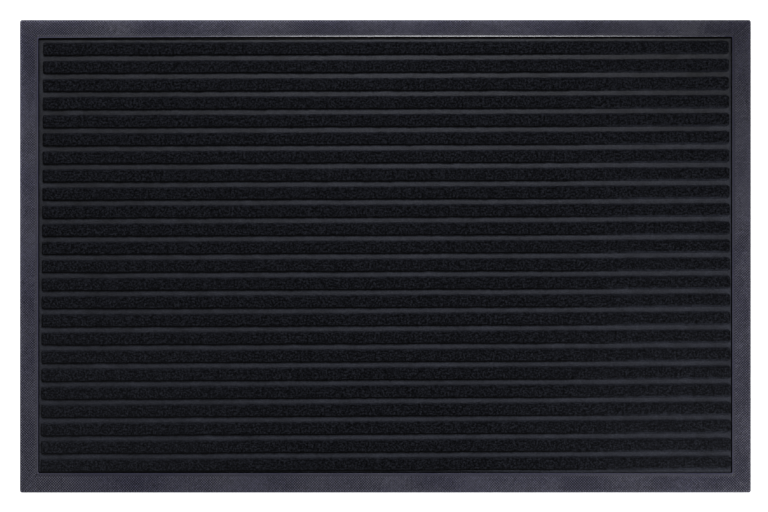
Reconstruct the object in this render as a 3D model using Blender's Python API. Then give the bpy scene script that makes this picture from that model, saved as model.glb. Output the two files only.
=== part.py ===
"""Door mat: a moulded rubber tray with a ramped border, and a ribbed needle-felt carpet bonded into it.

Run with: blender --background --python part.py, or from Blender's text editor.
Metres, +Z up, +X along the mat's long side and +Y away from whoever wipes their feet on it.
The origin is on the floor, under the middle of the mat.
"""

import math

import bmesh
import bpy

# The mat as a whole
MAT_LENGTH = 0.700
MAT_DEPTH = 0.452
TOUCH_GAP = 0.0003  # kept between pieces that touch

# Rubber tray: the floor sheet, the ramped border and the lip that the carpet sits inside
BORDER_WIDTH = 0.0177
OUTER_CORNER_RADIUS = 0.0020
OPENING_CORNER_RADIUS = 0.0016
OUTER_EDGE_HEIGHT = 0.0025
RAMP_TOP_HEIGHT = 0.0063
EDGE_ROUNDING = 0.0006
LIP_WIDTH = 0.0016
LIP_RISE = 0.0005
FLOOR_THICKNESS = 0.0018

# Underside: a flat foot all round, and round grip studs in the shallow field inside it
FOOT_WIDTH = 0.0140
FIELD_DEPTH = 0.0008
STUD_COLUMNS = 17
STUD_ROWS = 11
STUD_MARGIN = 0.0200  # from the foot's inner edge to the middle of the outermost studs
STUD_FACE_RADIUS = 0.0042
STUD_DRAFT = 0.0005
STUD_SIDES = 8

# Bonding film between the tray and the carpet
FILM_THICKNESS = 0.0003
FILM_INSET = 0.0040

# Carpet: the pressed felt sheet, and the ribs of open pile that stand on it
CARPET_GAP_SIDES = 0.0012
CARPET_GAP_BACK = 0.0007
CARPET_GAP_FRONT = 0.0007
CARPET_CORNER_RADIUS = 0.0012
FELT_THICKNESS = 0.0020
FELT_EDGE_ROUNDING = 0.0004
RIB_COUNT = 24
GROOVE_WIDTH = 0.0049
RIB_HEIGHT = 0.0024
RIB_MARGIN_LEFT = 0.0039
RIB_MARGIN_RIGHT = 0.0013
RIB_MARGIN_BACK = 0.00265
RIB_MARGIN_FRONT = 0.00245
RIB_CORNER_RADIUS = 0.0020
RIB_CROWN = 0.0011

CORNER_STEPS = 4  # straight stretches in each rounded corner of a plan outline
CROWN_STEPS = 3  # and in each rounded edge of a section

# Heights that follow from the sizes above
FLOOR_TOP = FIELD_DEPTH + FLOOR_THICKNESS
FILM_BOTTOM = FLOOR_TOP + TOUCH_GAP
FELT_BOTTOM = FILM_BOTTOM + FILM_THICKNESS + TOUCH_GAP
FELT_TOP = FELT_BOTTOM + FELT_THICKNESS
RIB_BOTTOM = FELT_TOP + TOUCH_GAP


def clear_scene():
    for obj in list(bpy.data.objects):
        bpy.data.objects.remove(obj)


def material(name, colour, roughness):
    """A Principled material; nothing in the mat is metal."""
    made = bpy.data.materials.new(name)
    made.use_nodes = True
    shader = made.node_tree.nodes["Principled BSDF"]
    shader.inputs["Base Color"].default_value = (*colour, 1.0)
    shader.inputs["Roughness"].default_value = roughness
    shader.inputs["Metallic"].default_value = 0.0
    made.diffuse_color = (*colour, 1.0)
    return made


def rounded_rectangle(length, depth, radius, height):
    """The outline of a rectangle about the Z axis, with an arc at each corner, going anticlockwise."""
    points = []
    for quarter, (sx, sy) in enumerate(((1, 1), (-1, 1), (-1, -1), (1, -1))):
        centre_x = sx * (length / 2 - radius)
        centre_y = sy * (depth / 2 - radius)
        for step in range(CORNER_STEPS + 1):
            angle = math.radians(90 * (quarter + step / CORNER_STEPS))
            x = centre_x + radius * math.cos(angle)
            y = centre_y + radius * math.sin(angle)
            points.append((x, y, height))
    return points


def quarter_round(radius):
    """(how far in, how far up) along a quarter circle that turns from an upright side to a level top."""
    turns = [math.radians(90 * step / CROWN_STEPS) for step in range(CROWN_STEPS + 1)]
    return [(radius * (1 - math.cos(turn)), radius * math.sin(turn)) for turn in turns]


def new_object(name, mesh, parent=None):
    obj = bpy.data.objects.new(name, mesh)
    bpy.context.scene.collection.objects.link(obj)
    obj.parent = parent
    return obj


def solid_from_loops(name, finish, loops):
    """A closed mesh: each loop of points is bridged to the next, and the first and last are filled."""
    bm = bmesh.new()
    rings = [[bm.verts.new(point) for point in points] for points in loops]
    for ring, next_ring in zip(rings, rings[1:]):
        for here in range(len(ring)):
            before = here - 1
            bm.faces.new((ring[before], ring[here], next_ring[here], next_ring[before]))
    bm.faces.new(reversed(rings[0]))
    bm.faces.new(rings[-1])
    mesh = bpy.data.meshes.new(name)
    bm.to_mesh(mesh)
    bm.free()
    mesh.shade_smooth()
    mesh.set_sharp_from_angle(angle=math.radians(35))
    mesh.materials.append(finish)
    return mesh


def tray_section():
    """The border's section, from the underside round to the floor, as (inset from the edge, height)."""
    lip_inset = BORDER_WIDTH - LIP_WIDTH
    section = [
        (FOOT_WIDTH, FIELD_DEPTH),
        (FOOT_WIDTH - FIELD_DEPTH / 2, 0.0),
        (0.0, 0.0),
    ]
    edge_start = OUTER_EDGE_HEIGHT - EDGE_ROUNDING
    section += [(inset, edge_start + rise) for inset, rise in quarter_round(EDGE_ROUNDING)]
    section.append((lip_inset, RAMP_TOP_HEIGHT))
    # The lip is a half-round bead along the opening.
    for step in range(1, 2 * CROWN_STEPS):
        turn = math.pi * step / (2 * CROWN_STEPS)
        across = LIP_WIDTH * (1 - math.cos(turn)) / 2
        section.append((lip_inset + across, RAMP_TOP_HEIGHT + LIP_RISE * math.sin(turn)))
    section += [(BORDER_WIDTH, RAMP_TOP_HEIGHT), (BORDER_WIDTH, FLOOR_TOP)]
    return section


def tray_outline(inset, height):
    """One level of the tray. Its corner radius runs from the outer corner's to the opening's."""
    share = inset / BORDER_WIDTH
    radius = OUTER_CORNER_RADIUS + (OPENING_CORNER_RADIUS - OUTER_CORNER_RADIUS) * share
    return rounded_rectangle(MAT_LENGTH - 2 * inset, MAT_DEPTH - 2 * inset, radius, height)


def grip_studs(tray):
    """Rows of round studs over the field, with one under the middle of the mat, united with the tray."""
    first_x = FOOT_WIDTH + STUD_MARGIN - MAT_LENGTH / 2
    first_y = FOOT_WIDTH + STUD_MARGIN - MAT_DEPTH / 2
    root = FLOOR_THICKNESS / 2  # how far a stud runs up into the sheet, so that the two unite
    height = FIELD_DEPTH + root
    bm = bmesh.new()
    for column in range(STUD_COLUMNS):
        for row in range(STUD_ROWS):
            made = bmesh.ops.create_cone(
                bm,
                cap_ends=True,
                segments=STUD_SIDES,
                radius1=STUD_FACE_RADIUS,
                radius2=STUD_FACE_RADIUS + STUD_DRAFT * height / FIELD_DEPTH,
                depth=height,
            )
            x = first_x * (1 - 2 * column / (STUD_COLUMNS - 1))
            y = first_y * (1 - 2 * row / (STUD_ROWS - 1))
            bmesh.ops.translate(bm, verts=made["verts"], vec=(x, y, height / 2))
    mesh = bpy.data.meshes.new("grip_stud_joiner")
    bm.to_mesh(mesh)
    bm.free()
    joiner = new_object("grip_stud_joiner", mesh, tray)
    joiner.hide_render = True
    joiner.display_type = "WIRE"
    union = tray.modifiers.new("grip studs", "BOOLEAN")
    union.operation = "UNION"
    union.solver = "EXACT"
    union.object = joiner


def rubber_tray(rubber):
    loops = [tray_outline(inset, height) for inset, height in tray_section()]
    grip_studs(new_object("rubber_tray", solid_from_loops("rubber_tray", rubber, loops)))


def carpet_sizes():
    """The carpet's length and depth, and how far its middle lies in front of the tray's."""
    length = MAT_LENGTH - 2 * (BORDER_WIDTH + CARPET_GAP_SIDES)
    depth = MAT_DEPTH - 2 * BORDER_WIDTH - CARPET_GAP_BACK - CARPET_GAP_FRONT
    shift = (CARPET_GAP_FRONT - CARPET_GAP_BACK) / 2
    return length, depth, shift


def bonding_film(glue, carpet):
    length, depth, _ = carpet_sizes()
    radius = CARPET_CORNER_RADIUS
    loops = [
        rounded_rectangle(length - 2 * FILM_INSET, depth - 2 * FILM_INSET, radius, height)
        for height in (0.0, FILM_THICKNESS)
    ]
    film = new_object("bonding_film", solid_from_loops("bonding_film", glue, loops), carpet)
    film.location.z = FILM_BOTTOM


def pressed_felt(felt, carpet):
    length, depth, _ = carpet_sizes()
    sides = [(0.0, 0.0)]
    sides += [
        (inset, FELT_THICKNESS - FELT_EDGE_ROUNDING + rise)
        for inset, rise in quarter_round(FELT_EDGE_ROUNDING)
    ]
    loops = [
        rounded_rectangle(length - 2 * inset, depth - 2 * inset, CARPET_CORNER_RADIUS - inset, height)
        for inset, height in sides
    ]
    sheet = new_object("pressed_felt", solid_from_loops("pressed_felt", felt, loops), carpet)
    sheet.location.z = FELT_BOTTOM


def pile_ribs(pile, carpet):
    """Equal ribs with a groove between each two. They share one mesh, and number 1 is at the back."""
    length, depth, _ = carpet_sizes()
    field = depth - RIB_MARGIN_BACK - RIB_MARGIN_FRONT
    pitch = (field + GROOVE_WIDTH) / RIB_COUNT
    rib_width = pitch - GROOVE_WIDTH
    rib_length = length - RIB_MARGIN_LEFT - RIB_MARGIN_RIGHT
    sides = [(0.0, 0.0)]
    sides += [(inset, RIB_HEIGHT - RIB_CROWN + rise) for inset, rise in quarter_round(RIB_CROWN)]
    loops = []
    for inset, height in sides:
        radius = RIB_CORNER_RADIUS - inset
        loops.append(rounded_rectangle(rib_length - 2 * inset, rib_width - 2 * inset, radius, height))
    mesh = solid_from_loops("pile_rib", pile, loops)
    middle = (RIB_MARGIN_LEFT - RIB_MARGIN_RIGHT) / 2
    back = depth / 2 - RIB_MARGIN_BACK - rib_width / 2
    for number in range(RIB_COUNT):
        rib = new_object(f"pile_rib_{number + 1:02d}", mesh, carpet)
        rib.location = (middle, back - number * pitch, RIB_BOTTOM)


def main():
    clear_scene()
    rubber = material("black_rubber", (0.045, 0.045, 0.062), 0.60)
    glue = material("hot_melt_glue", (0.60, 0.52, 0.36), 0.45)
    felt = material("pressed_felt", (0.034, 0.035, 0.040), 0.90)
    pile = material("open_pile", (0.009, 0.009, 0.012), 1.00)

    rubber_tray(rubber)
    carpet = bpy.data.objects.new("carpet_insert", None)
    bpy.context.scene.collection.objects.link(carpet)
    carpet.location.y = carpet_sizes()[2]
    bonding_film(glue, carpet)
    pressed_felt(felt, carpet)
    pile_ribs(pile, carpet)


main()
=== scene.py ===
"""An entrance door mat: a moulded rubber tray with a ribbed needle-felt carpet bonded into it.

Metres, +Z up, +X along the mat's long side and +Y towards its back edge. The floor is at Z = 0.
"""

import math

import bpy
import numpy as np
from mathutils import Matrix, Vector


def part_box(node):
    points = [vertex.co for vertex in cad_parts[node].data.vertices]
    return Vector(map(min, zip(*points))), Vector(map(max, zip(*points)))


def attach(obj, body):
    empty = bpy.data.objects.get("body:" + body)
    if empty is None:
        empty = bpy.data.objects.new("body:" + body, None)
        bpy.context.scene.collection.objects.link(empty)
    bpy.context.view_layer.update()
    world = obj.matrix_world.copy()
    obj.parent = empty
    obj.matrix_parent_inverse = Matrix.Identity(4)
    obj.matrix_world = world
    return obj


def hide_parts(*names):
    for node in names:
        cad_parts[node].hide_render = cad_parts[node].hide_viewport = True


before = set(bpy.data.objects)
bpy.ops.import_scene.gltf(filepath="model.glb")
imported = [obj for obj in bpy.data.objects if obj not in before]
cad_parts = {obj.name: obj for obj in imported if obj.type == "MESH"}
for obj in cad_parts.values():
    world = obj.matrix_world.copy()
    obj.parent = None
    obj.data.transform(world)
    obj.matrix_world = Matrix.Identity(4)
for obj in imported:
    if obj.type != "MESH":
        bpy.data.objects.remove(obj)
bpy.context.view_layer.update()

# ---------------------------------------------------------------------------------------------------
# Rubber tray
# One compression moulding in black rubber: the floor sheet, a border that ramps up to a lip, and grip
# studs underneath. The ramp was pressed against a coarse cloth that left its diagonal weave in it; the
# lip was cut straight into the mould, so it is smooth and shines a little.

tray_low, tray_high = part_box("rubber_tray")
film_low, film_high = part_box("bonding_film")
felt_low, felt_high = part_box("pressed_felt")
touch_gap = 0.0003
felt_margin = 0.0012  # between the felt's edge and the opening's side
border_width = tray_high.x - felt_high.x - felt_margin
floor_top = film_low.z - touch_gap
opening_shift = (0.00035, 0.00090)  # the opening sits a little off centre
opening_stretch = (-0.00045, 0.00045)  # and shrank unevenly as the rubber cooled
opening_sag = 0.0019  # its back side runs in a little towards the left end
trim_shift = (0.00050, -0.00040)  # the outer edge was trimmed by hand
trim_stretch = (0.00010, 0.00040)

ramp_start = 0.0005  # how far in from the outer edge the weave starts
ramp_low = 0.0024  # the ramp's height there
lip_width = 0.0013
lip_step = 0.00032  # how far the lip stands above the ramp's top
ramp_high = tray_high.z - lip_step
outer_radius = 0.0020
opening_radius = 0.0016
weave_cells = 13  # half waves of the weave across the ramp
weave_relief = 0.00040  # up and down from the ramp's own surface

ramp_end = border_width - lip_width
weave_step = (ramp_end - ramp_start) / weave_cells


def weave_lines(half):
    """Grid lines from -half to half: weave_step apart beside both ends, and very nearly so between."""
    straight = half - weave_cells * weave_step
    cells = 2 * round(straight / weave_step)
    ends = half - weave_step * np.arange(weave_cells)
    return np.concatenate([-ends, np.linspace(-straight, straight, cells + 1), ends[::-1]])


def around(x, y, grid_inset, inset):
    """Points (x, y) of the rectangle grid_inset in from the tray's edge, moved to the one inset in."""
    half_x, half_y = tray_high.x - inset, tray_high.y - inset
    x = x * half_x / (tray_high.x - grid_inset)
    y = y * half_y / (tray_high.y - grid_inset)
    radius = outer_radius + (opening_radius - outer_radius) * inset / border_width
    past_x = np.abs(x) - (half_x - radius)
    past_y = np.abs(y) - (half_y - radius)
    in_corner = (past_x > 0) & (past_y > 0)
    shrink = radius / np.maximum(np.hypot(past_x, past_y), 1e-9)
    round_x = np.where(in_corner, np.sign(x) * (half_x - radius + past_x * shrink), x)
    round_y = np.where(in_corner, np.sign(y) * (half_y - radius + past_y * shrink), y)
    along_x, along_y = round_x / tray_high.x, round_y / tray_high.y
    share = np.clip(inset / border_width, 0, 1) ** 2  # all of the opening's faults at the opening
    move_x = share * (opening_shift[0] + opening_stretch[0] * along_x)
    move_y = share * (opening_shift[1] + opening_stretch[1] * along_y)
    move_y = move_y - share * opening_sag * np.clip(-along_x, 0, 1) ** 2.2 * np.clip(along_y, 0, 1) ** 4
    share = np.clip(1 - inset / border_width, 0, 1) ** 2  # and all of the trim's at the outer edge
    move_x = move_x + share * (trim_shift[0] + trim_stretch[0] * along_x)
    move_y = move_y + share * (trim_shift[1] + trim_stretch[1] * along_y)
    return round_x + move_x, round_y + move_y


def waver(along, seed, reach):
    """A slow drift, up to reach: a few sine waves whose lengths share no multiple."""
    drift = np.zeros_like(along)
    for number, wavelength in enumerate((0.233, 0.127, 0.071, 0.039)):
        drift += np.sin(2 * math.pi * along / wavelength + seed * (1.7 + number)) / (number + 1.5)
    return reach * drift / 1.6


# The ramp is a grid of points whose level says how many weave steps in from the outer edge they lie.
lines_x = weave_lines(tray_high.x - ramp_start)
lines_y = weave_lines(tray_high.y - ramp_start)
last_x = len(lines_x) - 1
last_y = len(lines_y) - 1
column, row = np.meshgrid(np.arange(last_x + 1), np.arange(last_y + 1), indexing="ij")
level = np.minimum(np.minimum(column, last_x - column), np.minimum(row, last_y - row))
on_ramp = level <= weave_cells
number_of = np.full(level.shape, -1)
number_of[on_ramp] = np.arange(on_ramp.sum())
column, row, level = column[on_ramp], row[on_ramp], level[on_ramp]
inset = ramp_start + weave_step * level
x = np.zeros(len(level))
y = np.zeros(len(level))
for depth in range(weave_cells + 1):
    ring = level == depth
    ring_inset = ramp_start + weave_step * depth
    x[ring], y[ring] = around(lines_x[column[ring]], lines_y[row[ring]], ring_inset, ring_inset)
rise = (inset - ramp_start) / (ramp_end - ramp_start)
rise = 1 - (1 - rise) ** 1.2

# Every other point stands up and the rest lie low, which gives the weave. Clear says how plainly the
# cloth printed there: in patches, and least at the back right.
rng = np.random.default_rng(3)
raised = ((column + row) % 2 == 0) * (level < weave_cells)
across, along = x / tray_high.x, y / tray_high.y
clear = 0.68 + waver(x + 0.6 * y, 4.0, 0.45) + waver(3.3 * (x - y), 2.0, 0.25)
clear += rng.normal(0, 0.12, len(level))
clear -= (0.06 + 0.30 * across) * np.maximum(along, 0) + 0.36 * across**2 * np.minimum(along, 0)
clear = np.clip(clear, 0.15, 1.15)
weave = weave_relief * np.where(raised, 1.0, -1.0) * rng.uniform(0.7, 1.2, len(level))
weave *= (0.8 + 0.25 * clear) * (1 + waver(x - y, 1.0, 0.20) + waver(1.7 * x + y, 3.0, 0.20))
weave *= np.clip((weave_cells - level) / 2, 0, 1) * np.where(level == 0, 0.1, 1.0)
sag = waver(x + 1.3 * y, 2.0, 0.00010) + waver(0.7 * y - x, 5.0, 0.00006)
z = ramp_low + (ramp_high - ramp_low) * rise + weave + sag * (1 - rise) * np.minimum(1, level / 3)
edge_droop = 0.0005 * np.exp((ramp_start - inset) / 0.0016)
z -= edge_droop * np.where(level == 0, 0.9, 1.0)
tray_points = [np.column_stack([x, y, z])]
tray_map = [np.column_stack([x, y])]  # where each point lies when the moulding is flattened out

# Tone and shade is 0 in the weave's hollows, where painted shade turns it near black, and goes up to 1 on its
# tips, painted paler partly as rubbed wear and partly as painted highlight. The last rows before the lip get
# painted shade, and the weave is painted a little darker where its print is faint, most at the back right.
clear *= np.interp(level, (0, 1, weave_cells - 2, weave_cells), (0.2, 1, 1, 0))
near_lip = np.interp(level, (weave_cells - 2, weave_cells), (0, 0.13))
tray_tones_and_shade = [0.39 + 0.08 * clear + (raised - 0.45) * clear - near_lip]

tray_faces = []
for i in range(last_x):
    for j in range(last_y):
        cell = (number_of[i, j], number_of[i + 1, j], number_of[i + 1, j + 1], number_of[i, j + 1])
        if min(cell) < 0:
            continue
        # Each raised point is the tip of a four-sided pyramid, so the low corners share the fold.
        turn = 1 if (i + j) % 2 == 0 else 0
        a, b, c, d = cell[turn:] + cell[:turn]
        tray_faces += [(a, b, c), (a, c, d)]


def level_outline(depth):
    """The (column, row) pairs of the grid's outline, depth lines in from its edge, anticlockwise."""
    left, right, front, back = depth, last_x - depth, depth, last_y - depth
    outline = [(i, front) for i in range(left, right)]
    outline += [(right, j) for j in range(front, back)]
    outline += [(i, back) for i in range(right, left, -1)]
    outline += [(left, j) for j in range(back, front, -1)]
    return outline


def add_bands(outline, grid_inset, section, outwards):
    """Bands of faces from the grid's outline through each (inset, height, tone and shade); caps the last."""
    columns, rows = np.array(outline).T
    ring = number_of[columns, rows]
    travel = 0.0
    before = (grid_inset, tray_points[0][ring[0], 2])
    for inset, height, tone_and_shade in section:
        travel += math.hypot(inset - before[0], height - before[1])
        before = (inset, height)
        x, y = around(lines_x[columns], lines_y[rows], grid_inset, inset)
        first = sum(len(part) for part in tray_points)
        tray_points.append(np.column_stack([x, y, np.full(len(x), height)]))
        flat_inset = grid_inset + travel
        tray_map.append(np.column_stack(around(lines_x[columns], lines_y[rows], grid_inset, flat_inset)))
        tray_tones_and_shade.append(np.full(len(x), tone_and_shade))
        new_ring = first + np.arange(len(x))
        for here in range(len(x)):
            quad = (ring[here - 1], ring[here], new_ring[here], new_ring[here - 1])
            tray_faces.append(quad[::-1] if outwards else quad)
        ring = new_ring
    tray_faces.append(tuple(ring[::-1] if outwards else ring))


# The lip, as (share of its width, depth under the mat's top, tone and shade): it tilts a little outwards. Its
# flat top is painted paler as a painted highlight, and its inner wall and the recess floor below are painted
# near black as painted shadow.
lip_section = [
    (ramp_end + lip_width * share, tray_high.z - down, tone_and_shade)
    for share, down, tone_and_shade in (
        (0.08, 0.00026, 0.32),
        (0.14, 0.00025, 0.50),
        (0.84, 0.00007, 0.50),
        (0.89, 0.00006, 0.42),
        (0.94, 0.00006, 0.3),
        (0.98, 0.00012, 0.2),
        (1.00, 0.00030, 0.0),
    )
]
lip_section.append((border_width, floor_top, 0.0))
grained_points = len(tray_points[0])
add_bands(level_outline(weave_cells), ramp_end, lip_section, outwards=False)
polished_points = sum(len(part) for part in tray_points)
top_faces = len(tray_faces)

# The outer edge, the foot under the border and the field that the grip studs stand in.
foot_width = 0.0140
floor_thickness = 0.0018
field_height = floor_top - floor_thickness
edge_section = [
    (0.00016, ramp_low - 0.0007, 0.6),
    (0.0, ramp_low - 0.0010, 0.5),
    (0.0, 0.0003, 0.4),
    (0.0003, 0.0, 0.4),
    (foot_width - 0.0004, 0.0, 0.4),
    (foot_width, field_height, 0.3),
]
add_bands(level_outline(0), ramp_start, edge_section, outwards=True)
points = np.concatenate(tray_points)
tones_and_shade = np.concatenate(tray_tones_and_shade).astype(np.float32)
polish = np.zeros(len(points), np.float32)
polish[grained_points:polished_points] = 1.0
polish[polished_points:] = 0.4
# Painted highlight: the outer edge is painted paler, most along the back and left, where light from the back
# catches its steep rounding.
painted_edge_highlight = np.zeros(len(points), np.float32)
towards_back = np.clip(0.5 + 0.5 * (y - 0.3 * x) / tray_high.y, 0, 1) ** 1.5
painted_edge_highlight[:grained_points] = np.exp((ramp_start - inset) / 0.0024) * towards_back


def bake_map(mesh, flat, top_faces=None):
    """Lays the mesh out flat in the map OFBake, flat[i] being the place of point i.

    With top_faces, that many first faces fill the upper half of the map and all others the lower half.
    """
    flat = (flat - flat.min(0)) / (flat.max(0) - flat.min(0))
    corner_of = np.empty(len(mesh.loops), np.int32)
    mesh.loops.foreach_get("vertex_index", corner_of)
    corners = flat[corner_of]
    if top_faces is not None:
        sides = np.empty(len(mesh.polygons), np.int32)
        mesh.polygons.foreach_get("loop_total", sides)
        on_top = np.repeat(np.arange(len(sides)) < top_faces, sides)
        corners[:, 1] = 0.5 * corners[:, 1] + 0.5 * on_top
    layer = mesh.uv_layers.new(name="OFBake")
    layer.data.foreach_set("uv", corners.astype(np.float32).ravel())


def point_places(mesh):
    places = np.empty(len(mesh.vertices) * 3, np.float32)
    mesh.vertices.foreach_get("co", places)
    return places.reshape(-1, 3)


def plain_mesh(name, points, faces, sharp_angle):
    mesh = bpy.data.meshes.new(name)
    mesh.from_pydata(points, [], faces)
    mesh.shade_smooth()
    mesh.set_sharp_from_angle(angle=math.radians(sharp_angle))
    return mesh


tray_mesh = plain_mesh("tray", points, tray_faces, 50)
for attribute, values in (("polish", polish), ("tone_and_shade", tones_and_shade), ("painted_edge_highlight", painted_edge_highlight)):
    tray_mesh.attributes.new(attribute, "FLOAT", "POINT").data.foreach_set("value", values)


def add(tree, kind, inputs=None, **settings):
    """A new node. Its inputs are given by name or number, as values or as the sockets that feed them."""
    node = tree.nodes.new(kind)
    for name, value in settings.items():
        setattr(node, name, value)
    for name, value in (inputs or {}).items():
        if isinstance(value, bpy.types.NodeSocket):
            tree.links.new(value, node.inputs[name])
        else:
            node.inputs[name].default_value = value
    return node


def principled_material(name, **constants):
    """A material with one Principled shader: (material, tree, shader, Object coordinates)."""
    material = bpy.data.materials.new(name)
    material.use_nodes = True
    tree = material.node_tree
    shader = tree.nodes["Principled BSDF"]
    for socket, value in constants.items():
        shader.inputs[socket.replace("_", " ")].default_value = value
    places = add(tree, "ShaderNodeTexCoord").outputs["Object"]
    return material, tree, shader, places


def colour_ramp(tree, factor, *stops):
    """Colours by factor; each stop is (factor, (red, green, blue))."""
    ramp = add(tree, "ShaderNodeValToRGB", {"Fac": factor})
    points = ramp.color_ramp.elements
    while len(points) < len(stops):
        points.new(0.5)
    for point, (position, colour) in zip(points, stops):
        point.position = position
        point.color = (*colour, 1.0)
    return ramp.outputs["Color"]


def spread(tree, value, low, high, to_low, to_high):
    """value's range low to high, mapped to to_low to to_high."""
    made = add(tree, "ShaderNodeMapRange", {0: value, 1: low, 2: high, 3: to_low, 4: to_high})
    return made.outputs[0]


def noise(tree, places, scale, detail=2.0, roughness=0.5):
    inputs = {"Vector": places, "Scale": scale, "Detail": detail, "Roughness": roughness}
    return add(tree, "ShaderNodeTexNoise", inputs).outputs[0]


def bump(tree, height, distance, strength):
    inputs = {"Height": height, "Distance": distance, "Strength": strength}
    return add(tree, "ShaderNodeBump", inputs).outputs["Normal"]


def mix(tree, blend, factor, first, second):
    """Colour first blended with colour second (MIX, MULTIPLY, ADD and so on)."""
    inputs = {"Factor": factor, 6: first, 7: second}
    return add(tree, "ShaderNodeMix", inputs, data_type="RGBA", blend_type=blend).outputs[2]


def attribute(tree, name):
    return add(tree, "ShaderNodeAttribute", attribute_name=name).outputs["Fac"]


def maths(tree, operation, *values):
    return add(tree, "ShaderNodeMath", dict(enumerate(values)), operation=operation).outputs[0]


rubber, tree, shader, places = principled_material("moulded rubber", IOR=1.5)
shader.inputs["Specular IOR Level"].default_value = 0.40
clouds = noise(tree, places, 16.0, 3.0)
grains = noise(tree, places, 900.0, 3.0, 0.65)
body_colour = colour_ramp(
    tree, clouds, (0.34, (0.0960, 0.0955, 0.1730)), (0.66, (0.1290, 0.1285, 0.2000))
)
# Painted shade and highlight: low tone and shade turns the rubber near black in the weave's hollows, the
# lip's inner wall and the recess; high values make the tips and the lip's top paler.
tone_and_shade = attribute(tree, "tone_and_shade")
tone_and_shade_colour = colour_ramp(tree, tone_and_shade, (0.10, (0.012, 0.012, 0.013)), (0.80, (1.0, 0.99, 0.93)))
grain_shade = spread(tree, grains, 0.3, 0.7, 0.75, 1.25)
coloured = mix(tree, "MULTIPLY", 1.0, body_colour, tone_and_shade_colour)
coloured = mix(tree, "MULTIPLY", 1.0, coloured, grain_shade)
# Painted highlight along the outer edge: up to 1.75 times paler.
edge_highlight_factor = spread(tree, attribute(tree, "painted_edge_highlight"), 0.0, 1.0, 1.0, 1.75)
coloured = mix(tree, "MULTIPLY", 1.0, coloured, edge_highlight_factor)
# Painted shade: X plus Y is largest at the back right corner, and there the rubber is painted darker, where
# less light falls.
diagonal = add(tree, "ShaderNodeVectorMath", {0: places, 1: (1.0, 1.0, 0.0)}, operation="DOT_PRODUCT")
painted_back_right_shade = spread(tree, diagonal.outputs["Value"], 0.30, 0.54, 1.0, 0.64)
coloured = mix(tree, "MULTIPLY", 1.0, coloured, painted_back_right_shade)
tree.links.new(coloured, shader.inputs["Base Color"])
dull = spread(tree, attribute(tree, "polish"), 0.0, 1.0, 0.60, 0.17)
uneven = spread(tree, noise(tree, places, 260.0), 0.3, 0.7, -0.05, 0.05)
tree.links.new(maths(tree, "ADD", dull, uneven), shader.inputs["Roughness"])
tree.links.new(bump(tree, grains, 0.00012, 0.5), shader.inputs["Normal"])


def group_inputs(tree, material_name, **values):
    """Declares a Geometry Nodes tree's inputs and its output; the given values are their defaults."""
    tree.interface.new_socket("Geometry", in_out="INPUT", socket_type="NodeSocketGeometry")
    tree.interface.new_socket("Geometry", in_out="OUTPUT", socket_type="NodeSocketGeometry")
    for name, value in values.items():
        kind = "NodeSocketInt" if isinstance(value, int) else "NodeSocketFloat"
        socket = tree.interface.new_socket(name.replace("_", " "), in_out="INPUT", socket_type=kind)
        socket.default_value = value
    tree.interface.new_socket(material_name, in_out="INPUT", socket_type="NodeSocketMaterial")
    return tree.nodes.new("NodeGroupInput").outputs


def made_by(tree, name, mesh=None, **values):
    """A new object: the plain mesh that a Geometry Nodes tree makes of mesh with these input values."""
    holder = bpy.data.objects.new(name, mesh or bpy.data.meshes.new(name))
    bpy.context.scene.collection.objects.link(holder)
    nodes = holder.modifiers.new(name, "NODES")
    nodes.node_group = tree
    sockets = {item.name: item.identifier for item in tree.interface.items_tree if item.in_out == "INPUT"}
    for key, value in values.items():
        nodes[sockets[key.replace("_", " ")]] = value
    bpy.context.view_layer.update()
    graph = bpy.context.evaluated_depsgraph_get()
    plain = bpy.data.meshes.new_from_object(holder.evaluated_get(graph))
    bpy.data.objects.remove(holder)
    made = bpy.data.objects.new(name, plain)
    bpy.context.scene.collection.objects.link(made)
    return made


def vector(tree, x=0.0, y=0.0, z=0.0):
    return add(tree, "ShaderNodeCombineXYZ", {0: x, 1: y, 2: z}).outputs[0]


# The grip studs: a grid of short drafted cones that end level with the foot and run a little way up
# into the floor sheet.
tree = bpy.data.node_groups.new("grip studs", "GeometryNodeTree")
given = group_inputs(
    tree,
    "Rubber",
    Columns=17,
    Rows=11,
    Length=0.632,
    Depth=0.384,
    Face_Radius=0.0042,
    Draft=0.0005,
    Height=0.0010,
    Sides=20,
)
places = add(
    tree,
    "GeometryNodeMeshGrid",
    {
        "Size X": given["Length"],
        "Size Y": given["Depth"],
        "Vertices X": given["Columns"],
        "Vertices Y": given["Rows"],
    },
)
stud = add(
    tree,
    "GeometryNodeMeshCone",
    {
        "Vertices": given["Sides"],
        "Side Segments": 1,
        "Radius Top": maths(tree, "ADD", given["Face Radius"], given["Draft"]),
        "Radius Bottom": given["Face Radius"],
        "Depth": given["Height"],
    },
    fill_type="NGON",
)
studs = add(
    tree, "GeometryNodeInstanceOnPoints", {"Points": places.outputs[0], "Instance": stud.outputs[0]}
)
joined = add(tree, "GeometryNodeJoinGeometry")
tree.links.new(studs.outputs[0], joined.inputs[0])
tree.links.new(given["Geometry"], joined.inputs[0])
real = add(tree, "GeometryNodeRealizeInstances", {"Geometry": joined.outputs[0]})
whole = add(tree, "GeometryNodeSetMaterial", {"Geometry": real.outputs[0], "Material": given["Rubber"]})
tree.links.new(whole.outputs[0], tree.nodes.new("NodeGroupOutput").inputs[0])

stud_margin = foot_width + 0.020  # from the outer edge to the middle of the first studs
tray = made_by(
    tree,
    "tray",
    tray_mesh,
    Length=2 * (tray_high.x - stud_margin),
    Depth=2 * (tray_high.y - stud_margin),
    Rubber=rubber,
)
# The moulding's own points come first in the joined mesh, and the studs' points after them.
stud_places = point_places(tray.data)[len(points):, :2]
bake_map(tray.data, np.concatenate([*tray_map, stud_places]), top_faces)
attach(tray, "root")
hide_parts("rubber_tray")

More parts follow.
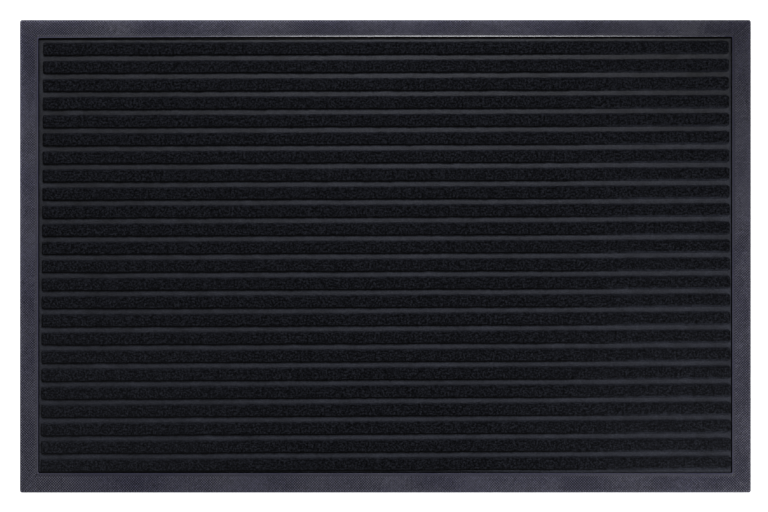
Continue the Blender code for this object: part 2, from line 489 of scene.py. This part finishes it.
# ---------------------------------------------------------------------------------------------------
# Bonding film
# Hot-melt adhesive, rolled on as a thin film, that holds the carpet down. Nothing of it shows once
# the carpet is in.

glue, tree, shader, places = principled_material("hot melt glue", Roughness=0.4, IOR=1.48)
runs = noise(tree, places, 120.0, 3.0)
amber = colour_ramp(tree, runs, (0.35, (0.42, 0.33, 0.18)), (0.65, (0.62, 0.54, 0.38)))
tree.links.new(amber, shader.inputs["Base Color"])
tree.links.new(bump(tree, runs, 0.0002, 0.5), shader.inputs["Normal"])
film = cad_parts["bonding_film"]
for slot in film.material_slots:
    slot.material = glue

# ---------------------------------------------------------------------------------------------------
# Pressed felt
# The carpet's ground: needle-punched polypropylene fibre, hot-pressed flat between the ribs and along
# the margin, which leaves it paler and a little shiny. It was laid into the tray slightly askew.

back_skew = 0.0030  # how far a row climbs for each metre to the right, at the carpet's back edge
front_skew = 0.0048  # and at its front edge


def row_skew(y):
    """How far the carpet's row at y climbs for each metre to the right."""
    return front_skew + (back_skew - front_skew) * (y - felt_low.y) / (felt_high.y - felt_low.y)


def row_stretch(y):
    """The carpet is a little longer at its front edge than at its back."""
    return 1 - 0.0037 * y / felt_high.y


rib_names = sorted(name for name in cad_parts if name.startswith("pile_rib_"))
rib_boxes = [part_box(name) for name in rib_names]
groove_backs = [felt_high.y] + [low.y for low, high in rib_boxes]
groove_fronts = [high.y for low, high in rib_boxes] + [felt_low.y]
edge_round = 0.0003
under_rib = 0.0008  # how far the points of a groove run on under the ribs beside it
felt_rows = [felt_high.y, felt_high.y - edge_round, felt_low.y + edge_round, felt_low.y]
for back, front in zip(groove_backs, groove_fronts):
    felt_rows += list(np.linspace(back + under_rib, front - under_rib, 8))
felt_rows = np.unique(np.clip(felt_rows, felt_low.y, felt_high.y).round(6))
felt_columns = np.linspace(felt_low.x + 0.0004, felt_high.x - 0.0004, 300)
felt_columns = np.concatenate([[felt_low.x], felt_columns, [felt_high.x]])
grid_x, grid_y = np.meshgrid(felt_columns, felt_rows, indexing="ij")
count_x, count_y = grid_x.shape
rng = np.random.default_rng(7)
lumps = rng.normal(0.0, 1.0, grid_x.shape)
lumps = (lumps + np.roll(lumps, 1, 1)) / 1.4
from_side = felt_high.x - np.abs(grid_x)
from_edge = np.minimum(from_side, np.minimum(felt_high.y - grid_y, grid_y - felt_low.y))
rounding = 0.00014 * np.clip(1 - from_edge / edge_round, 0, 1)
top_z = felt_high.z - 0.00010 + 0.00003 * np.clip(lumps, -1.5, 1.5) - rounding

# The front edge is pressed down, except at the right end. The back edge was cut short at the left,
# and away from both edges the felt lies askew as the ribs do.
at_front = np.clip(1 - (grid_y - felt_low.y) / 0.0022, 0, 1) * np.clip((0.16 - grid_x) / 0.08, 0, 1)
top_z -= 0.0011 * at_front
cut_back = np.interp(grid_x, (-0.18, 0.21), (-0.00145, 0.00005)) + waver(2.1 * grid_x, 1.0, 0.00012)
inside = np.clip(np.minimum(felt_high.y - grid_y, grid_y - felt_low.y) / 0.004, 0, 1)
askew_y = grid_y + row_skew(grid_y) * grid_x * inside + np.where(grid_y > 0, cut_back, 0) * (1 - inside)
top = np.column_stack([grid_x.ravel(), askew_y.ravel(), top_z.ravel()])
number_of = np.arange(count_x * count_y).reshape(count_x, count_y)
corners = [number_of[:-1, :-1], number_of[1:, :-1], number_of[1:, 1:], number_of[:-1, 1:]]
felt_faces = np.stack(corners, -1).reshape(-1, 4).tolist()
rim = np.concatenate([number_of[:-1, 0], number_of[-1, :-1], number_of[:0:-1, -1], number_of[0, :0:-1]])
bottom = top[rim].copy()
bottom[:, 2] = felt_low.z
bottom_ring = len(top) + np.arange(len(rim))
felt_faces += [(rim[k], rim[k - 1], bottom_ring[k - 1], bottom_ring[k]) for k in range(len(rim))]
felt_faces.append(tuple(bottom_ring[::-1]))
felt_mesh = plain_mesh("felt", np.concatenate([top, bottom]), felt_faces, 60)
bake_map(felt_mesh, np.concatenate([top, 0.98 * bottom])[:, :2], (count_x - 1) * (count_y - 1))
felt = bpy.data.objects.new("felt", felt_mesh)
bpy.context.scene.collection.objects.link(felt)


def felt_colour(tree, places):
    """The pressed fibre's colour, and the height of its hairs: lines of fibre, mostly along the ribs.

    It is patchy, and painted shade darkens it towards the left end and towards the right end of the back
    edge, where less light falls.
    """
    stretched = add(tree, "ShaderNodeMapping", {"Vector": places, "Scale": (0.55, 1.0, 1.0)}).outputs[0]
    hairs = noise(tree, stretched, 900.0, 4.0, 0.7)
    colours = (0.0078, 0.0086, 0.0130), (0.0172, 0.0187, 0.0262), (0.0325, 0.0348, 0.0462)
    hair_colour = colour_ramp(tree, hairs, *zip((0.30, 0.52, 0.75), colours))
    patches = spread(tree, noise(tree, places, 60.0, 4.0, 0.6), 0.3, 0.7, 1.20, 2.00)
    across = add(tree, "ShaderNodeSeparateXYZ", {0: places}).outputs
    # Painted shade: darker towards the left end, and towards the right end of the back edge.
    left = spread(tree, across[0], -0.02, -0.27, 0.0, 0.62)
    left = maths(tree, "MULTIPLY", left, spread(tree, across[1], -0.15, 0.10, 0.35, 1.0))
    back_right_felt_shade = spread(tree, across[0], 0.04, 0.27, 0.0, 1.0)
    back_right_felt_shade = maths(tree, "MULTIPLY", back_right_felt_shade, spread(tree, across[1], 0.08, 0.18, 0.10, 0.80))
    patches_and_shade = maths(tree, "SUBTRACT", patches, maths(tree, "ADD", left, back_right_felt_shade))
    return mix(tree, "MULTIPLY", 1.0, hair_colour, patches_and_shade), hairs


pressed, tree, shader, places = principled_material("pressed felt", Roughness=0.44)
shader.inputs["Specular IOR Level"].default_value = 0.28
coloured, hairs = felt_colour(tree, places)
tree.links.new(coloured, shader.inputs["Base Color"])
tree.links.new(bump(tree, hairs, 0.0003, 0.5), shader.inputs["Normal"])
felt_mesh.materials.append(pressed)

# ---------------------------------------------------------------------------------------------------
# Pile ribs
# The same fibre, left open and standing between the pressed grooves: a springy bar of tangled black
# pile. Its front side stands steeply over the groove, its back side slopes down into the next one,
# and loose fibres loop out of the surface everywhere.

pile, tree, shader, places = principled_material(
    "open pile", Roughness=0.95, Sheen_Weight=0.02, Sheen_Roughness=0.5
)
shader.inputs["Specular IOR Level"].default_value = 0.08
tufts = noise(tree, places, 600.0, 3.0, 0.70)
tuft_colour = colour_ramp(
    tree,
    tufts,
    (0.39, (0.0004, 0.0005, 0.0008)),
    (0.50, (0.0047, 0.0052, 0.0076)),
    (0.62, (0.0185, 0.0200, 0.0268)),
)
# Nap and shadow is 0 where the pile is closed up to felt, 1 where it stands open and 2 where painted shadow
# turns its front side and left end near black.
pressed_colour, hairs = felt_colour(tree, places)
nap_and_shadow = attribute(tree, "nap_and_shadow")
coloured = mix(tree, "MIX", spread(tree, nap_and_shadow, 0.0, 1.0, 0.0, 1.0), pressed_colour, tuft_colour)
# Painted shadow: the near black of the front side and the left end.
shadow_black = (0.0003, 0.0003, 0.0005, 1.0)
coloured = mix(tree, "MIX", spread(tree, nap_and_shadow, 1.0, 2.0, 0.0, 1.0), coloured, shadow_black)
across = add(tree, "ShaderNodeSeparateXYZ", {0: places}).outputs
to_ends = spread(tree, maths(tree, "ABSOLUTE", across[0]), 0.08, 0.34, 0.0, 1.0)
to_front = spread(tree, across[1], 0.02, -0.21, 0.0, 1.0)
# Painted sheen: the pile is painted paler towards the two front corners, as low light glancing along its
# fibres would make it.
painted_corner_sheen = maths(tree, "MULTIPLY", to_ends, to_front)
coloured = mix(tree, "ADD", painted_corner_sheen, coloured, (0.0040, 0.0042, 0.0050, 1.0))
tree.links.new(coloured, shader.inputs["Base Color"])
fine = noise(tree, places, 2400.0, 2.0, 0.6)
tree.links.new(bump(tree, fine, 0.0002, 0.6), shader.inputs["Normal"])

rib_tree = bpy.data.node_groups.new("pile rib", "GeometryNodeTree")
given = group_inputs(
    rib_tree,
    "Pile",
    Left_End=-0.33,
    Right_End=0.33,
    Middle=0.0,
    Width=0.0124,
    Base=0.0054,
    Top=0.0080,
    Skew=0.0,
    Grain=0.00118,
    Corner_Radius=0.0009,
    End_Rounding=0.0016,
    Soft_Side=0.0026,
    Lumps=0.00030,
    Fibre_Length=0.0019,
    Fibre_Radius=0.000115,
    Fibres_Per_Area=200000.0,
    Seed=1,
)


def sums(operation, *values):
    return maths(rib_tree, operation, *values)


def shift(x=0.0, y=0.0, z=0.0):
    return vector(rib_tree, x, y, z)


def eased(value, low, high):
    """0 up to low and 1 from high on, with a smooth change between."""
    inputs = {0: value, 1: low, 2: high, 3: 0.0, 4: 1.0}
    return add(rib_tree, "ShaderNodeMapRange", inputs, interpolation_type="SMOOTHSTEP").outputs[0]


def coordinates():
    place = add(rib_tree, "GeometryNodeInputPosition").outputs[0]
    return add(rib_tree, "ShaderNodeSeparateXYZ", {0: place}).outputs


# The bar: a rounded section swept from end to end and drawn in a little at both ends.
height = sums("SUBTRACT", given["Top"], given["Base"])
mid_height = sums("MULTIPLY_ADD", height, 0.5, given["Base"])
ends = {
    "Start": shift(given["Left End"], given["Middle"], mid_height),
    "End": shift(given["Right End"], given["Middle"], mid_height),
}
rail = add(rib_tree, "GeometryNodeCurvePrimitiveLine", ends)
rail = add(
    rib_tree, "GeometryNodeResampleCurve", {"Curve": rail.outputs[0], "Length": given["Grain"]}, mode="LENGTH"
)
from_left = sums("SUBTRACT", coordinates()[0], given["Left End"])
from_right = sums("SUBTRACT", given["Right End"], coordinates()[0])
near_left = sums("SUBTRACT", 1.0, sums("MINIMUM", 1.0, sums("DIVIDE", from_left, given["End Rounding"])))
reach = sums("MULTIPLY", given["End Rounding"], 2.0)
near_right = sums("SUBTRACT", 1.0, sums("MINIMUM", 1.0, sums("DIVIDE", from_right, reach)))
drawn_in_left = sums("MULTIPLY", sums("POWER", near_left, 2.0), 0.10)
drawn_in_right = sums("MULTIPLY", sums("POWER", near_right, 2.0), 0.26)
drawn_in = sums("MAXIMUM", drawn_in_left, drawn_in_right)
section = add(
    rib_tree, "GeometryNodeCurvePrimitiveQuadrilateral", {"Width": given["Width"], "Height": height}
)
section = add(
    rib_tree,
    "GeometryNodeFilletCurve",
    {"Curve": section.outputs[0], "Radius": given["Corner Radius"], "Count": 3},
    mode="POLY",
)
section = add(
    rib_tree,
    "GeometryNodeResampleCurve",
    {"Curve": section.outputs[0], "Length": sums("MULTIPLY", given["Grain"], 0.85)},
    mode="LENGTH",
)
bar = add(
    rib_tree,
    "GeometryNodeCurveToMesh",
    {
        "Curve": rail.outputs[0],
        "Profile Curve": section.outputs[0],
        "Scale": sums("SUBTRACT", 1.0, drawn_in),
        "Fill Caps": True,
    },
)

# Its sides: the back one slopes, and so does the front one towards the right end, where the press
# closed less sharply.
here = coordinates()
half_width = sums("MULTIPLY", given["Width"], 0.5)
off_middle = sums("SUBTRACT", here[1], given["Middle"])
from_back = sums("SUBTRACT", half_width, off_middle)
from_front = sums("ADD", half_width, off_middle)
up = sums("DIVIDE", sums("SUBTRACT", here[2], given["Base"]), height)
blunt = eased(here[0], 0.13, 0.26)
back_fall = sums("SUBTRACT", 1.0, eased(from_back, -0.0002, given["Soft Side"]))
front_fall = sums("MULTIPLY", sums("SUBTRACT", 1.0, eased(from_front, -0.0002, given["Soft Side"])), blunt)
fall = sums("MAXIMUM", back_fall, front_fall)
drop = sums("MULTIPLY", sums("MULTIPLY", fall, up), sums("MULTIPLY", height, -0.72))
lean = sums("MULTIPLY", sums("SUBTRACT", 1.0, eased(from_front, 0.0, 0.0020)), sums("MULTIPLY", up, -0.0008))
moved = shift(0.0, lean, drop)
shaped = add(rib_tree, "GeometryNodeSetPosition", {"Geometry": bar.outputs[0], "Offset": moved})

# Its surface: lumpy, closed up to felt at the foot of a slope, and painted near black on its front side and
# left end as painted shadow.
position = add(rib_tree, "GeometryNodeInputPosition").outputs[0]
normal = add(rib_tree, "GeometryNodeInputNormal").outputs[0]


def lumps_of(scale, detail, reach):
    """How far a point is moved, up to half of reach each way; scale is in lumps per metre."""
    made = add(rib_tree, "ShaderNodeTexNoise", {"Vector": position, "Scale": scale, "Detail": detail})
    return sums("MULTIPLY", sums("SUBTRACT", made.outputs[0], 0.5), reach)


small = lumps_of(560.0, 2.0, sums("MULTIPLY", given["Lumps"], 3.4))
large = lumps_of(85.0, 1.0, sums("MULTIPLY", given["Lumps"], 1.6))
proud = sums("MULTIPLY", sums("ADD", small, large), eased(up, 0.2, 0.6))
swell = add(rib_tree, "ShaderNodeVectorMath", {0: normal, "Scale": proud}, operation="SCALE").outputs[0]
wander = sums("ADD", lumps_of(150.0, 2.0, 0.0011), lumps_of(30.0, 1.0, 0.0008))
skewed = sums("MULTIPLY_ADD", here[0], given["Skew"], wander)
moved = add(rib_tree, "ShaderNodeVectorMath", {0: swell, 1: shift(0.0, skewed)}, operation="ADD").outputs[0]
ragged = sums("ADD", fall, lumps_of(300.0, 3.0, 1.5))
# Painted shadow: the front side, except towards the right end, and the left end are marked near black.
painted_shadow_side = sums("SUBTRACT", 1.0, eased(from_front, 0.0006, 0.0014))
painted_shadow_side = sums("MULTIPLY", painted_shadow_side, sums("SUBTRACT", 1.0, blunt))
painted_shadow_side = sums("MAXIMUM", painted_shadow_side, sums("SUBTRACT", 1.0, eased(from_left, 0.0003, 0.0012)))
marked = add(
    rib_tree,
    "GeometryNodeStoreNamedAttribute",
    {
        "Geometry": shaped.outputs[0],
        "Name": "nap_and_shadow",
        "Value": sums("ADD", sums("SUBTRACT", 1.0, eased(ragged, 0.30, 1.25)), painted_shadow_side),
    },
    data_type="FLOAT",
    domain="POINT",
)
lumpy = add(rib_tree, "GeometryNodeSetPosition", {"Geometry": marked.outputs[0], "Offset": moved})

# The loose fibres: short arches with both ends sunk in, scattered over the bar and turned every way.
half_fibre = sums("MULTIPLY", given["Fibre Length"], 0.5)
sunk = sums("MULTIPLY", half_fibre, -0.20)
arch = add(
    rib_tree,
    "GeometryNodeCurveQuadraticBezier",
    {
        "Resolution": 2,
        "Start": shift(sums("MULTIPLY", half_fibre, -1.0), 0.0, sunk),
        "Middle": shift(0.0, sums("MULTIPLY", half_fibre, 0.3), sums("MULTIPLY", half_fibre, 0.80)),
        "End": shift(half_fibre, 0.0, sunk),
    },
)
thread = add(
    rib_tree,
    "GeometryNodeCurvePrimitiveCircle",
    {"Resolution": 3, "Radius": given["Fibre Radius"]},
    mode="RADIUS",
)
fibre = add(
    rib_tree,
    "GeometryNodeCurveToMesh",
    {"Curve": arch.outputs[0], "Profile Curve": thread.outputs[0], "Fill Caps": True},
)
fibre = add(rib_tree, "GeometryNodeSetShadeSmooth", {"Geometry": fibre.outputs[0], "Shade Smooth": True})
facing_up = add(rib_tree, "ShaderNodeSeparateXYZ", {0: normal}).outputs[2]
underside_ends = -0.3  # faces that point further down than this carry no fibres
open_side = add(
    rib_tree,
    "FunctionNodeCompare",
    {0: facing_up, 1: underside_ends},
    data_type="FLOAT",
    operation="GREATER_THAN",
)
scattered = add(
    rib_tree,
    "GeometryNodeDistributePointsOnFaces",
    {
        "Mesh": lumpy.outputs[0],
        "Selection": open_side.outputs[0],
        "Density": given["Fibres Per Area"],
        "Seed": given["Seed"],
    },
    distribute_method="RANDOM",
)
turned = add(
    rib_tree,
    "FunctionNodeRandomValue",
    {0: (-0.45, -0.45, 0.0), 1: (0.45, 0.45, 2 * math.pi), "Seed": given["Seed"]},
    data_type="FLOAT_VECTOR",
)
facing = add(
    rib_tree,
    "FunctionNodeRotateRotation",
    {"Rotation": scattered.outputs["Rotation"], "Rotate By": turned.outputs[0]},
    rotation_space="LOCAL",
)
sized = add(
    rib_tree, "FunctionNodeRandomValue", {2: 0.65, 3: 1.35, "Seed": given["Seed"]}, data_type="FLOAT"
)
fibres = add(
    rib_tree,
    "GeometryNodeInstanceOnPoints",
    {
        "Points": scattered.outputs["Points"],
        "Instance": fibre.outputs[0],
        "Rotation": facing.outputs[0],
        "Scale": sized.outputs[1],
    },
)
smooth = add(rib_tree, "GeometryNodeSetShadeSmooth", {"Geometry": lumpy.outputs[0], "Shade Smooth": True})
joined = add(rib_tree, "GeometryNodeJoinGeometry")
rib_tree.links.new(fibres.outputs[0], joined.inputs[0])
rib_tree.links.new(smooth.outputs[0], joined.inputs[0])
real = add(rib_tree, "GeometryNodeRealizeInstances", {"Geometry": joined.outputs[0]})
whole = add(rib_tree, "GeometryNodeSetMaterial", {"Geometry": real.outputs[0], "Material": given["Pile"]})
rib_tree.links.new(whole.outputs[0], rib_tree.nodes.new("NodeGroupOutput").inputs[0])

for number, (name, (low, high)) in enumerate(zip(rib_names, rib_boxes)):
    middle = (low.y + high.y) / 2
    rib = made_by(
        rib_tree,
        f"pile_row_{number + 1:02d}",
        Left_End=low.x * row_stretch(middle) - 0.0005,
        Right_End=high.x * row_stretch(middle),
        Middle=middle,
        Width=high.y - low.y,
        Base=felt_high.z - 0.0001,
        Top=high.z - 0.0002,
        Skew=row_skew(middle),
        Seed=number + 1,
        Pile=pile,
    )
    # The bar's map: seen from above, with its two long sides folded out.
    places = point_places(rib.data)
    away = places[:, 1] - middle - row_skew(middle) * places[:, 0]
    folded = away + np.sign(away) * (places[:, 2].max() - places[:, 2])
    bake_map(rib.data, np.column_stack([places[:, 0], folded]))
    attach(rib, "root")
    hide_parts(name)

# The felt is declared here, once the ribs that stand on it are made.
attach(felt, "root")
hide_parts("pressed_felt")

# ---------------------------------------------------------------------------------------------------
# Studio
# A white floor that glows a little, as an overexposed paper sweep does, a softbox beyond the mat's
# back edge, weaker ones at the front, and a camera straight above.

floor_reach = 3
floor_z = -0.0002  # just under the mat, so that the foot and the floor don't share a plane
floor_corners = [
    (side_x * floor_reach, side_y * floor_reach, floor_z)
    for side_x, side_y in ((-1, -1), (1, -1), (1, 1), (-1, 1))
]
floor_mesh = bpy.data.meshes.new("floor")
floor_mesh.from_pydata(floor_corners, [], [(0, 1, 2, 3)])
floor = bpy.data.objects.new("floor", floor_mesh)
bpy.context.scene.collection.objects.link(floor)
paper, tree, shader, places = principled_material("white paper", Roughness=0.9)
shader.inputs["Base Color"].default_value = (0.86, 0.86, 0.86, 1.0)
shader.inputs["Emission Color"].default_value = (1.0, 1.0, 1.0, 1.0)
shader.inputs["Emission Strength"].default_value = 0.8
floor_mesh.materials.append(paper)


def softbox(name, place, aim, width, depth, power):
    """A rectangular lamp at place that faces the point aim; power is in watts."""
    lamp = bpy.data.lights.new(name, "AREA")
    lamp.shape = "RECTANGLE"
    lamp.size = width
    lamp.size_y = depth
    lamp.energy = power
    holder = bpy.data.objects.new(name, lamp)
    bpy.context.scene.collection.objects.link(holder)
    holder.location = place
    holder.rotation_euler = (Vector(aim) - Vector(place)).to_track_quat("-Z", "Y").to_euler()


softbox("key softbox", (0.08, 0.84, 1.52), (0.02, 0.05, 0.0), 0.46, 0.50, 12.5)
softbox("right softbox", (0.84, -0.86, 0.64), (0.30, -0.20, 0.0), 0.55, 0.55, 9.4)
softbox("left softbox", (-1.20, -0.10, 0.72), (-0.2, 0.0, 0.0), 0.60, 0.50, 3.4)
softbox("low back light", (-0.90, 1.35, 0.60), (-0.1, 0.15, 0.0), 0.70, 0.35, 6.0)

world = bpy.data.worlds.new("studio")
world.use_nodes = True
world.node_tree.nodes["Background"].inputs["Color"].default_value = (1.0, 1.0, 1.0, 1.0)
world.node_tree.nodes["Background"].inputs["Strength"].default_value = 0.085
bpy.context.scene.world = world

camera_height = 3.0
view_width = 0.7361  # how much of the floor the picture spans
camera_data = bpy.data.cameras.new("camera")
camera_data.sensor_width = 36.0
camera_data.lens = camera_data.sensor_width * camera_height / view_width
camera = bpy.data.objects.new("camera", camera_data)
bpy.context.scene.collection.objects.link(camera)
camera.location = (-0.00086, -0.00014, camera_height)  # less than a millimetre off the mat's middle
bpy.context.scene.camera = camera
bpy.context.scene.view_settings.view_transform = "Standard"
